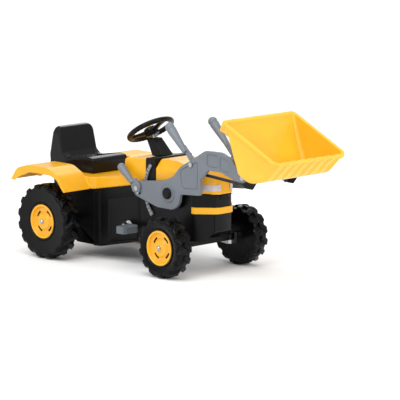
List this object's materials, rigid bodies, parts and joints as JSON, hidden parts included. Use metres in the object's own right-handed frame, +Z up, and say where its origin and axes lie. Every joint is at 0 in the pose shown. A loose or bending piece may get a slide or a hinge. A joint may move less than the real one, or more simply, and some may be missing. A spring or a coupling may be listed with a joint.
{
  "type": "ride-on pedal digger",
  "caption": "Child's ride-on pedal tractor with a front loader: yellow and black plastic body, steered front wheels, chain drive, raised bucket on hinged grey arms.",
  "frame": {"origin": "middle of the digger's box, on the ground it stands on, with the loader raised", "axes": "+X forward towards the bucket, +Y to the rider's left, +Z up"},
  "size_m": [1.196, 0.5146, 0.548],
  "materials": {
    "yellow_shell": "moulded, satin gloss",
    "yellow_rim": "moulded, satin gloss",
    "yellow_bucket": "moulded, satin gloss",
    "black_shell": "moulded, fine grain",
    "seat_black": "moulded, satin",
    "wheel_black": "moulded, satin",
    "tyre_black": "blow-moulded plastic tyre",
    "arm_grey": "moulded, satin",
    "handle_grey": "moulded, satin",
    "rack_grey": "moulded",
    "pedal_grey": "moulded",
    "nylon": "white nylon",
    "lamp": "printed plastic",
    "black_steel": "black powder coat",
    "steel": "zinc plated"
  },
  "bodies": {
    "chassis": {"lower_body": "black_shell", "dash_cowl": "black_shell", "column_shroud": "black_shell", "upper_body": "yellow_shell", "hood": "yellow_shell", "bumper_strip": "yellow_shell", "seat": "seat_black", "seat_bolts": "steel", "hub_shaft": "steel", "drive_chain": "steel", "headlight_right": "lamp", "headlight_left": "lamp", "front_axle_beam": "black_shell", "shaft_bearing": "black_shell", "axle_spacers": "black_shell", "hub_spacers": "black_shell", "hub_caps": "black_shell", "axle_bushes": "nylon", "crank_bushes": "nylon", "latch_racks": "rack_grey"},
    "drive_axle": {"rear_axle": "steel", "rear_sprocket": "steel", "axle_nuts": "steel", "tyre_rear_right": "tyre_black", "rim_rear_right": "yellow_rim"},
    "wheel_rear_left": {"tyre_rear_left": "tyre_black", "rim_rear_left": "yellow_rim"},
    "crank": {"crank_axle": "steel", "chainring": "steel", "crank_right": "black_steel", "crank_left": "black_steel"},
    "pedal_right": {"pedal_right": "pedal_grey"},
    "pedal_left": {"pedal_left": "pedal_grey"},
    "steering": {"steering_wheel": "wheel_black", "steering_shaft": "steel"},
    "horn": {"horn_button": "yellow_shell"},
    "tie_rod": {"tie_rod": "steel"},
    "knuckle_right": {"knuckle_right": "steel", "front_nut_right": "steel"},
    "wheel_front_right": {"tyre_front_right": "tyre_black", "rim_front_right": "yellow_rim"},
    "knuckle_left": {"knuckle_left": "steel", "front_nut_left": "steel"},
    "wheel_front_left": {"tyre_front_left": "tyre_black", "rim_front_left": "yellow_rim"},
    "loader": {"loader_arm_right": "arm_grey", "loader_arm_left": "arm_grey", "bucket_pin": "steel", "pivot_pins": "steel", "cross_tube": "arm_grey"},
    "latch_right": {"latch_handle_right": "handle_grey", "latch_pawl_right": "steel"},
    "tip_lever_right": {"tip_lever_right": "handle_grey"},
    "tip_link_right": {"tip_link_right": "black_steel"},
    "latch_left": {"latch_handle_left": "handle_grey", "latch_pawl_left": "steel"},
    "tip_lever_left": {"tip_lever_left": "handle_grey"},
    "tip_link_left": {"tip_link_left": "black_steel"},
    "bucket": {"bucket": "yellow_bucket", "bucket_brackets": "black_shell"}
  },
  "joints": [
    {"name": "loader_lift", "type": "hinge", "parent": "chassis", "child": "loader", "pos_m": [0.043, 0, 0.268], "axis": [0, 1, 0], "range_deg": [0, 43.5]},
    {"name": "bucket_tip", "type": "hinge", "parent": "loader", "child": "bucket", "pos_m": [0.395, 0, 0.36], "axis": [0, 1, 0], "range_deg": [0, 35]},
    {"name": "tip_lever_right_pivot", "type": "hinge", "parent": "loader", "child": "tip_lever_right", "pos_m": [0.152, 0, 0.376], "axis": [0, 1, 0], "range_deg": [0, 35]},
    {"name": "tip_link_right_pivot", "type": "hinge", "parent": "tip_lever_right", "child": "tip_link_right", "pos_m": [0.152, 0, 0.349], "axis": [0, 1, 0], "range_deg": [-35, 0]},
    {"name": "latch_right_release", "type": "hinge", "parent": "loader", "child": "latch_right", "pos_m": [-0.103, 0, 0.268], "axis": [0, 1, 0], "range_deg": [0, 10], "stiffness_Nm_per_rad": 0.8, "springref_deg": -6.88},
    {"name": "tip_lever_left_pivot", "type": "hinge", "parent": "loader", "child": "tip_lever_left", "pos_m": [0.152, 0, 0.376], "axis": [0, 1, 0], "range_deg": [0, 35]},
    {"name": "tip_link_left_pivot", "type": "hinge", "parent": "tip_lever_left", "child": "tip_link_left", "pos_m": [0.152, 0, 0.349], "axis": [0, 1, 0], "range_deg": [-35, 0]},
    {"name": "latch_left_release", "type": "hinge", "parent": "loader", "child": "latch_left", "pos_m": [-0.103, 0, 0.268], "axis": [0, 1, 0], "range_deg": [0, 10], "stiffness_Nm_per_rad": 0.8, "springref_deg": -6.88},
    {"name": "steering_turn", "type": "hinge", "parent": "chassis", "child": "steering", "pos_m": [-0.159, 0, 0.45], "axis": [-0.5446, 0, 0.8387], "range_deg": [-30, 30]},
    {"name": "horn_press", "type": "slide", "parent": "steering", "child": "horn", "axis": [0.5446, 0, -0.8387], "range_m": [0, 0.003], "stiffness_N_per_m": 400, "springref_m": -0.002},
    {"name": "tie_rod_slide", "type": "slide", "parent": "chassis", "child": "tie_rod", "axis": [0, 1, 0], "range_m": [-0.0155, 0.0155]},
    {"name": "knuckle_right_turn", "type": "hinge", "parent": "chassis", "child": "knuckle_right", "pos_m": [0.1, -0.118, 0.1015], "axis": [0, 0, 1], "range_deg": [-22.5, 22.5]},
    {"name": "wheel_front_right_spin", "type": "hinge", "parent": "knuckle_right", "child": "wheel_front_right", "pos_m": [0.1, -0.1775, 0.1015], "axis": [0, 1, 0], "continuous": true},
    {"name": "knuckle_left_turn", "type": "hinge", "parent": "chassis", "child": "knuckle_left", "pos_m": [0.1, 0.118, 0.1015], "axis": [0, 0, 1], "range_deg": [-22.5, 22.5]},
    {"name": "wheel_front_left_spin", "type": "hinge", "parent": "knuckle_left", "child": "wheel_front_left", "pos_m": [0.1, 0.1775, 0.1015], "axis": [0, 1, 0], "continuous": true},
    {"name": "drive_axle_spin", "type": "hinge", "parent": "chassis", "child": "drive_axle", "pos_m": [-0.436, 0, 0.1285], "axis": [0, 1, 0], "continuous": true},
    {"name": "wheel_rear_left_spin", "type": "hinge", "parent": "drive_axle", "child": "wheel_rear_left", "pos_m": [-0.436, 0.22, 0.1285], "axis": [0, 1, 0], "continuous": true},
    {"name": "crank_spin", "type": "hinge", "parent": "chassis", "child": "crank", "pos_m": [-0.164, 0, 0.134], "axis": [0, 1, 0], "continuous": true},
    {"name": "pedal_right_spin", "type": "hinge", "parent": "crank", "child": "pedal_right", "pos_m": [-0.104, -0.16, 0.134], "axis": [0, 1, 0], "continuous": true},
    {"name": "pedal_left_spin", "type": "hinge", "parent": "crank", "child": "pedal_left", "pos_m": [-0.224, 0.16, 0.134], "axis": [0, 1, 0], "continuous": true}
  ],
  "couplings": [
    {"joint": "tip_lever_right_pivot", "follows": "bucket_tip", "ratio": 1},
    {"joint": "tip_link_right_pivot", "follows": "bucket_tip", "ratio": -1},
    {"joint": "knuckle_right_turn", "follows": "steering_turn", "ratio": 0.7333},
    {"joint": "tip_lever_left_pivot", "follows": "bucket_tip", "ratio": 1},
    {"joint": "tip_link_left_pivot", "follows": "bucket_tip", "ratio": -1},
    {"joint": "knuckle_left_turn", "follows": "steering_turn", "ratio": 0.7333},
    {"joint": "tie_rod_slide", "follows": "steering_turn", "m_per_rad": -0.02865},
    {"joint": "crank_spin", "follows": "drive_axle_spin", "ratio": 0.71429}
  ]
}
